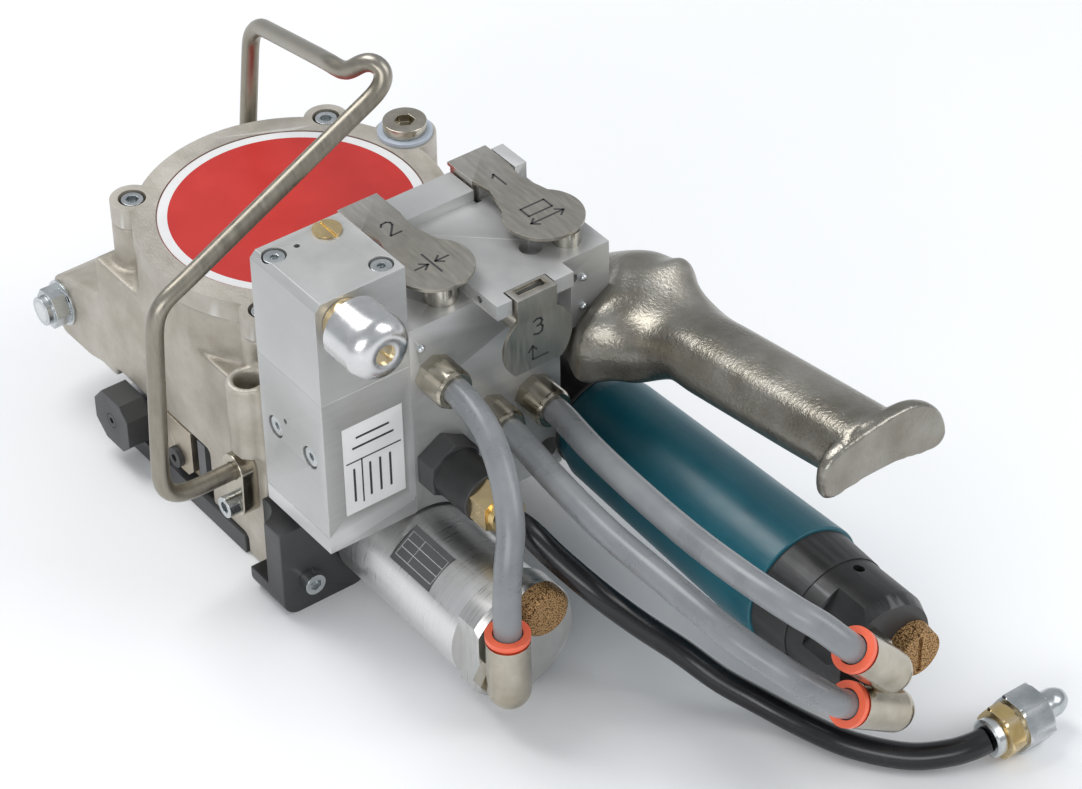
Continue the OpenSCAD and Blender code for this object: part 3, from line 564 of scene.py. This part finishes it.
HANDLE_SECTIONS = [
    (74, [(53, 91), (52, 101), (53, 111), (66, 112), (80, 112), (91, 111), (92, 101), (80, 90)]),
    (92, [(54, 92), (53, 102), (55, 112), (68, 114), (81, 116), (93, 113), (94, 103), (79, 91)]),
    (112, [(56, 96), (55, 106), (60, 117), (70.5, 121), (84, 129), (97, 124), (99, 112), (78, 94)]),
    (128, [(54, 97), (53, 108), (60, 118), (71, 129), (84, 139), (102, 131), (101, 114), (78, 97)]),
    (139, [(50, 98), (47, 110), (50, 124), (62, 134), (80, 141), (103, 134), (101, 114), (78, 99)]),
    (147, [(48, 100), (42.5, 112), (45, 127), (57, 137.5), (79, 140.5), (100, 141), (102, 122), (80, 100)]),
    (153, [(50, 102), (44, 112), (46.5, 127), (58, 137), (80, 140), (98.5, 142), (101, 124), (80, 102)]),
    (160, [(55, 105), (49.5, 114), (51.5, 126), (61, 135), (79, 139), (95, 140), (99, 124), (80, 104.5)]),
    (170, [(59, 108), (55, 117), (57, 128), (66, 136), (79, 139.5), (92, 138.5), (98, 126), (79, 108)])]
# the grip rises 22 mm over 140 mm, and its underside is cut flatter towards the rear
for section_x in (184, 200, 220, 240, 260, 280, 294):
    middle = 123 + (section_x - 156) / 140 * 22
    underside = middle - 14.6 + (section_x - 184) / 22
    HANDLE_SECTIONS.append((section_x, ellipse_points(77.5, middle, 19.5, 15, underside)))
STOP_OUTLINE = [(51, 136), (51.5, 148.5), (59, 154.5), (75, 158), (93.5, 159.5), (105, 155), (112, 147),
                (115, 136), (111, 131), (102, 131.5), (89, 134), (71, 134), (56, 132.5)]


def closed_curve(points, per):
    """Closed smooth curve through the points."""
    n = len(points)
    out = []
    for i in range(n):
        a, b, c, d = (Vector(points[(i + k) % n]) for k in (-1, 0, 1, 2))
        for k in range(per):
            t = k / per
            out.append(0.5 * (2 * b + (c - a) * t + (2 * a - 5 * b + 4 * c - d) * t ** 2
                              + (3 * b - a - 3 * c + d) * t ** 3))
    return out


def skin(bm, loops):
    """Closed skin over loops of equal length."""
    close_rings(bm, [[bm.verts.new(Vector(p) * MM) for p in loop] for loop in loops])


def cast_handle():
    bm = bmesh.new()
    stations = [(x, closed_curve(outline, 8)) for x, outline in HANDLE_SECTIONS]
    columns = [catmull([(x, loop[k].x, loop[k].y) for x, loop in stations], 4) for k in range(64)]
    skin(bm, [[column[i] for column in columns] for i in range(len(columns[0]))])
    stop = closed_curve(STOP_OUTLINE, 6)
    middle = sum(stop, Vector((0, 0))) / len(stop)
    skin(bm, [[(x, *(middle + (p - middle) * grow)) for p in stop]
              for x, grow in ((290.5, 0.9), (292.5, 0.985), (294.5, 1.0), (297, 1.0), (298, 0.97))])
    bmesh.ops.recalc_face_normals(bm, faces=bm.faces)
    obj = add_mesh("handle_cast", bm, "polished_casting", "frame", ["handle"])
    remesh = obj.modifiers.new("remesh", "REMESH")
    remesh.mode = "VOXEL"
    remesh.voxel_size = 1.0 * MM
    smooth = obj.modifiers.new("smooth", "SMOOTH")
    smooth.factor = 0.5
    smooth.iterations = 8
    apply_modifiers(obj)
    obj.data.polygons.foreach_set("use_smooth", [True] * len(obj.data.polygons))


cast_handle()


# ---------------------------------------------------------------- labels and engraving
def plate_frame(origin, right, up):
    """Matrix of a flat drawing: x to the right, y up, in metres from millimetres."""
    x, y = Vector(right).normalized(), Vector(up).normalized()
    z = x.cross(y)
    at = Vector(origin) * MM
    return Matrix(((x.x, y.x, z.x, at.x), (x.y, y.y, z.y, at.y), (x.z, y.z, z.z, at.z), (0, 0, 0, 1)))


def strokes(name, place, lines, width, mat, body="frame", height=0.12):
    """Thin raised lines drawn on a flat face; lines are lists of points in mm."""
    bm = bmesh.new()
    half = width / 2
    for line in lines:
        for (x0, y0), (x1, y1) in zip(line, line[1:]):
            along = Vector((x1 - x0, y1 - y0)).normalized()
            side = Vector((-along.y, along.x)) * half
            tip = along * half * 0.6
            start = Vector((x0, y0)) - tip
            end = Vector((x1, y1)) + tip
            corners = [start + side, start - side, end - side, end + side]
            low = [bm.verts.new(place @ (Vector((x, y, -0.05)) * MM)) for x, y in corners]
            top = [bm.verts.new(place @ (Vector((x, y, height)) * MM)) for x, y in corners]
            bm.faces.new(top)
            bm.faces.new(list(reversed(low)))
            for k in range(4):
                bm.faces.new((low[k], low[(k + 1) % 4], top[(k + 1) % 4], top[k]))
    bmesh.ops.recalc_face_normals(bm, faces=bm.faces)
    return add_mesh(name, bm, mat, body)


ONE = [[(-1.6, 2.2), (0, 4), (0, -4)]]
TWO = [[(-2.2, 2.4), (-1.2, 3.7), (1, 3.9), (2.2, 2.8), (2, 1.2), (-2.3, -4), (2.5, -4)]]
THREE = [[(-2.2, 3.2), (-0.6, 4), (1.4, 3.7), (2.2, 2.2), (1.3, 0.6), (-0.5, 0.3)],
         [(1.3, 0.6), (2.4, -1), (2, -3.2), (0.2, -4), (-2.2, -3.3)]]
BOX_ARROW = [[(-5, 1), (-5, 6), (5, 6), (5, 1), (-5, 1)], [(-7, -3), (7, -3)],
             [(-4.5, -1), (-7, -3), (-4.5, -5)], [(4.5, -1), (7, -3), (4.5, -5)]]
CLOSE_ARROWS = [[(0, 6), (0, -6)], [(-7, 0), (-1.5, 0)], [(-4, 2), (-1.5, 0), (-4, -2)],
                [(7, 0), (1.5, 0)], [(4, 2), (1.5, 0), (4, -2)]]
BENT_ARROW = [[(-3, 4), (-3, -3), (5, -3)], [(-5, 1.5), (-3, 4), (-1, 1.5)]]


def shifted(lines, dx, dy, grow=1.0):
    return [[(x * grow + dx, y * grow + dy) for x, y in line] for line in lines]


LEVER_TOP = 167.4
for lever_name, lever_y, number, symbol, body in (("tension", 51.5, ONE, BOX_ARROW, "lever_1"),
                                                  ("weld", -5, TWO, CLOSE_ARROWS, "lever_2")):
    marks = shifted(number, 0, 31, 1.15) + shifted(symbol, 0, 1, 1.2)
    strokes(lever_name + "_lever_marks", plate_frame((115, lever_y, LEVER_TOP), (0, 1, 0), (-1, 0, 0)), marks,
            1.0, "ink", body, 0.04)
strokes("stop_lever_marks", plate_frame((148.2, 23.3, 134), (0, 1, 0), (0, 0, 1)),
        shifted(THREE, 0, 8) + shifted(BENT_ARROW, 0, -5), 1.0, "ink", "lever_3", 0.04)

LABEL = plate_frame((128.9, -48, 94), (0, 1, 0), (0, 0, 1))
strokes("valve_label_rules", LABEL, [[(-13.5, 4), (13.5, 4)], [(-6, 4), (-6, -19)]], 0.7, "ink",
        height=0.06)
strokes("valve_label_lines", LABEL,
        [[(-8, 16), (8, 16)], [(-10, 11), (10, 11)]] + [[(x, 0), (x, -17)] for x in (-10, -2, 3, 8)],
        1.1, "ink", height=0.05)
# the nameplate sits on the weld motor, 36 degrees from the top towards -Y; its lines are PLATE_R from the
# motor's axis, which is at WELD_Y, WELD_Z
PLATE_TURN = math.radians(36)
PLATE_R = 25.05
WELD_Y = -24.5
WELD_Z = 28.5
PLATE_ACROSS = (0, math.cos(PLATE_TURN), math.sin(PLATE_TURN))
NAMEPLATE = plate_frame((148, WELD_Y - PLATE_R * PLATE_ACROSS[2], WELD_Z + PLATE_R * PLATE_ACROSS[1]),
                        (1, 0, 0), PLATE_ACROSS)
strokes("nameplate_lines", NAMEPLATE,
        [[(-12.5, y), (12.5, y)] for y in (-6, -2, 2, 6)]
        + [[(-4, -6), (-4, 6)], [(-12.5, -6), (-12.5, 6)], [(12.5, -6), (12.5, 6)]],
        0.35, "label_white", height=0.05)


def flat_ring(name, origin, inner, outer, mat):
    height = 0.06
    steps = 128
    bm = bmesh.new()
    rings = []
    for radius, z in ((inner, -0.05), (inner, height), (outer, height), (outer, -0.05)):
        rings.append([bm.verts.new(((origin[0] + radius * math.cos(2 * math.pi * k / steps)) * MM,
                                    (origin[1] + radius * math.sin(2 * math.pi * k / steps)) * MM,
                                    (origin[2] + z) * MM)) for k in range(steps)])
    for i in range(4):
        a, b = rings[i], rings[(i + 1) % 4]
        for k in range(steps):
            bm.faces.new((a[k], a[(k + 1) % steps], b[(k + 1) % steps], b[k]))
    bmesh.ops.recalc_face_normals(bm, faces=bm.faces)
    return add_mesh(name, bm, mat)


flat_ring("cover_label_ring", (0, 0, 126.6), 54.5, 58.9, "label_white")


# ---------------------------------------------------------------- stage
def floor():
    bm = bmesh.new()
    size = 6.0
    corners = ((-size, -size, 0), (size, -size, 0), (size, size, 0), (-size, size, 0))
    bm.faces.new([bm.verts.new(v) for v in corners])
    mesh = bpy.data.meshes.new("floor")
    bm.to_mesh(mesh)
    bm.free()
    obj = bpy.data.objects.new("floor", mesh)
    bpy.context.scene.collection.objects.link(obj)
    n = Nodes("floor")
    cloud = n.noise(3, 3, 0.5)
    color = n.ramp(cloud, [(0.2, (0.9, 0.905, 0.915)), (0.8, (0.93, 0.935, 0.945))])
    obj.data.materials.append(n.finish(color, 0.7))


# every lamp faces this point
LIT_POINT = Vector((0.1, 0, 0.08))


def area(name, at, size, power):
    data = bpy.data.lights.new(name, "AREA")
    data.shape = "RECTANGLE"
    data.size, data.size_y = size
    data.energy = power
    obj = bpy.data.objects.new(name, data)
    bpy.context.scene.collection.objects.link(obj)
    at = Vector(at)
    turn = (LIT_POINT - at).to_track_quat("-Z", "Y").to_matrix().to_4x4()
    obj.matrix_world = Matrix.Translation(at) @ turn


def lights():
    area("key", (-0.9, -0.3, 1.9), (1.0, 1.2), 22)
    area("fill", (1.2, 0.9, 1.3), (0.8, 1.4), 11)
    area("front", (1.3, -1.6, 0.9), (1.4, 0.7), 13)
    world = bpy.data.worlds.new("world")
    bpy.context.scene.world = world
    world.use_nodes = True
    world.node_tree.nodes["Background"].inputs["Color"].default_value = (0.8, 0.83, 0.87, 1)
    world.node_tree.nodes["Background"].inputs["Strength"].default_value = 0.6


floor()
lights()
bpy.context.scene.view_settings.view_transform = "Standard"
